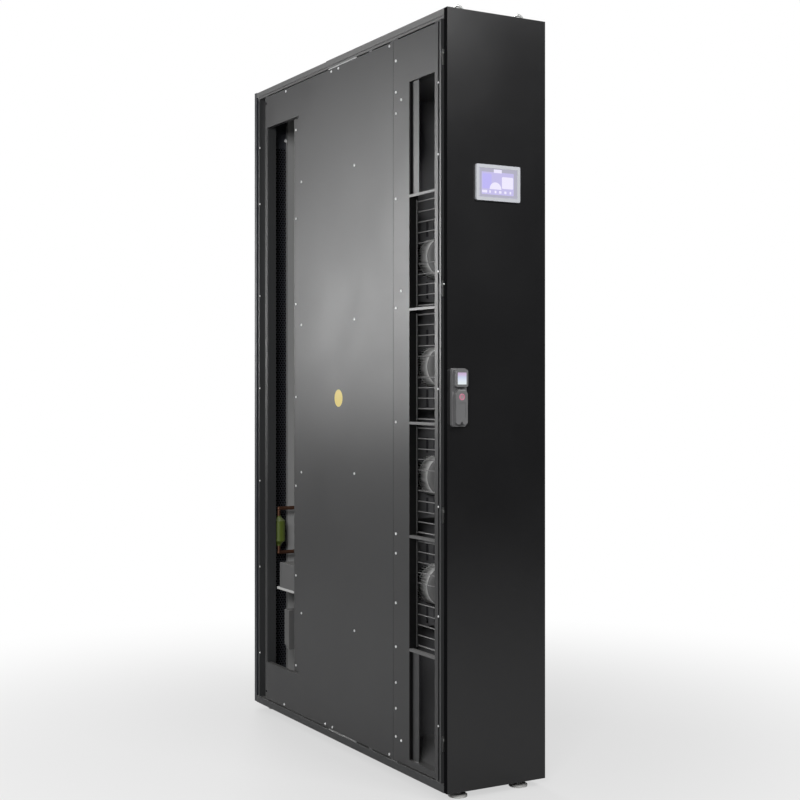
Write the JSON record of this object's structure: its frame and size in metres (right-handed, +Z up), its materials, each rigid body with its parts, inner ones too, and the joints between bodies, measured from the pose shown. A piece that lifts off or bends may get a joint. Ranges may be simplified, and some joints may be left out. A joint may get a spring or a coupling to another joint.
{
  "type": "in row cooling unit",
  "caption": "Tall narrow cabinet cooler for a row of server racks, with side air outlets and fans, a side window, a finned coil, a touch screen and a lockable door.",
  "frame": {"origin": "on the floor, under the middle of the cabinet's width and depth", "axes": "X is the width, -Y is the front with the touch screen, +Z is up"},
  "size_m": [0.3, 1.244, 2.014],
  "materials": {
    "frame_paint": "satin grey powder coat",
    "panel_paint": "satin grey powder coat",
    "rail_paint": "satin light grey powder coat",
    "door_paint": "satin near-black powder coat",
    "inner_dark": "matt dark grey coat",
    "zinc": "zinc plated",
    "wire": "bright plated wire",
    "motor_alu": "die-cast aluminium, light grey",
    "fan_plastic": "matt black-grey moulding",
    "fins": "bare aluminium fins",
    "copper": "bare copper tube",
    "compressor_paint": "gloss black enamel",
    "drier_paint": "olive green enamel",
    "box_paint": "light grey coat",
    "rubber": "black foam rubber",
    "board": "black insulating board",
    "screen_frame": "silver grey moulding",
    "screen_glass": "display glass, lit lavender grey",
    "lock_metal": "grey satin casting",
    "button_ring": "translucent pinkish cap",
    "foot_plastic": "light grey nylon and zinc steel"
  },
  "bodies": {
    "cabinet": {"base_pan": "frame_paint", "front_post_left": "frame_paint", "front_post_right": "frame_paint", "rear_post_left": "frame_paint", "rear_post_right": "frame_paint", "roof": "rail_paint", "roof_cover": "rail_paint", "lifting_eyes": "zinc", "seam_posts": "frame_paint", "outlet_panel_left": "panel_paint", "outlet_panel_right": "panel_paint", "side_panel_left": "panel_paint", "side_panel_right": "panel_paint", "panel_screws": "zinc", "crossbars": "rail_paint", "blank_strips": "rail_paint", "finger_guards": "wire", "window_strips": "frame_paint", "plenum_plates": "inner_dark", "bulkhead": "frame_paint", "inlet_rings": "inner_dark", "motor_plates": "inner_dark", "motor_1": "motor_alu", "motor_2": "motor_alu", "motor_3": "motor_alu", "motor_4": "motor_alu", "coil_ends": "zinc", "coil_core": "fins", "coil_bends": "copper", "drain_pan": "zinc", "compressor": "compressor_paint", "refrigerant_pipes": "copper", "filter_drier": "drier_paint", "control_box": "box_paint", "drive_box": "box_paint", "hinge_leaves": "zinc", "keepers": "zinc"},
    "front_door_leaf": {"front_door": "door_paint", "door_board": "board", "door_seal": "rubber", "screen": "screen_frame", "screen_glass": "screen_glass", "front_lock": "lock_metal"},
    "rear_door_leaf": {"rear_door": "door_paint", "rear_seal": "rubber", "rear_lock": "door_paint"},
    "spindle": {"front_spindle": "zinc"},
    "lever": {"front_lever": "lock_metal"},
    "button": {"lock_button": "button_ring"},
    "latch": {"latch_bar": "zinc"},
    "rear_handle": {"rear_lever": "door_paint"},
    "fan_1": {"impeller_1": "fan_plastic"},
    "fan_2": {"impeller_2": "fan_plastic"},
    "fan_3": {"impeller_3": "fan_plastic"},
    "fan_4": {"impeller_4": "fan_plastic"},
    "foot_front_left_body": {"foot_front_left": "foot_plastic"},
    "foot_front_right_body": {"foot_front_right": "foot_plastic"},
    "foot_rear_left_body": {"foot_rear_left": "foot_plastic"},
    "foot_rear_right_body": {"foot_rear_right": "foot_plastic"}
  },
  "joints": [
    {"name": "front_door_hinge", "type": "hinge", "parent": "cabinet", "child": "front_door_leaf", "pos_m": [0.143, -0.5795, 0], "axis": [0, 0, 1], "range_deg": [0, 110]},
    {"name": "rear_door_hinge", "type": "hinge", "parent": "cabinet", "child": "rear_door_leaf", "pos_m": [0.143, 0.5795, 0], "axis": [0, 0, -1], "range_deg": [0, 110]},
    {"name": "handle_turn", "type": "hinge", "parent": "front_door_leaf", "child": "spindle", "pos_m": [-0.12, -0.6, 1.02], "axis": [0, -1, 0], "range_deg": [0, 90]},
    {"name": "handle_tilt", "type": "hinge", "parent": "spindle", "child": "lever", "pos_m": [-0.12, -0.615, 1.034], "axis": [-1, 0, 0], "range_deg": [0, 30]},
    {"name": "button_press", "type": "slide", "parent": "lever", "child": "button", "axis": [0, 1, 0], "range_m": [0, 0.0012], "stiffness_N_per_m": 600, "springref_m": -0.001},
    {"name": "latch_slide", "type": "slide", "parent": "front_door_leaf", "child": "latch", "axis": [0, 0, -1], "range_m": [0, 0.018]},
    {"name": "rear_handle_turn", "type": "hinge", "parent": "rear_door_leaf", "child": "rear_handle", "pos_m": [-0.12, 0.6, 1.02], "axis": [0, -1, 0], "range_deg": [0, 90]},
    {"name": "fan_1_spin", "type": "hinge", "parent": "cabinet", "child": "fan_1", "pos_m": [0, -0.264, 0.50225], "axis": [0, 1, 0], "continuous": true},
    {"name": "fan_2_spin", "type": "hinge", "parent": "cabinet", "child": "fan_2", "pos_m": [0, -0.264, 0.80075], "axis": [0, 1, 0], "continuous": true},
    {"name": "fan_3_spin", "type": "hinge", "parent": "cabinet", "child": "fan_3", "pos_m": [0, -0.264, 1.09925], "axis": [0, 1, 0], "continuous": true},
    {"name": "fan_4_spin", "type": "hinge", "parent": "cabinet", "child": "fan_4", "pos_m": [0, -0.264, 1.39775], "axis": [0, 1, 0], "continuous": true},
    {"name": "foot_front_left_screw", "type": "slide", "parent": "cabinet", "child": "foot_front_left_body", "axis": [0, 0, 1], "range_m": [-0.01, 0.005]},
    {"name": "foot_front_right_screw", "type": "slide", "parent": "cabinet", "child": "foot_front_right_body", "axis": [0, 0, 1], "range_m": [-0.01, 0.005]},
    {"name": "foot_rear_left_screw", "type": "slide", "parent": "cabinet", "child": "foot_rear_left_body", "axis": [0, 0, 1], "range_m": [-0.01, 0.005]},
    {"name": "foot_rear_right_screw", "type": "slide", "parent": "cabinet", "child": "foot_rear_right_body", "axis": [0, 0, 1], "range_m": [-0.01, 0.005]}
  ],
  "couplings": [
    {"joint": "latch_slide", "follows": "handle_turn", "m_per_rad": 0.011459}
  ]
}
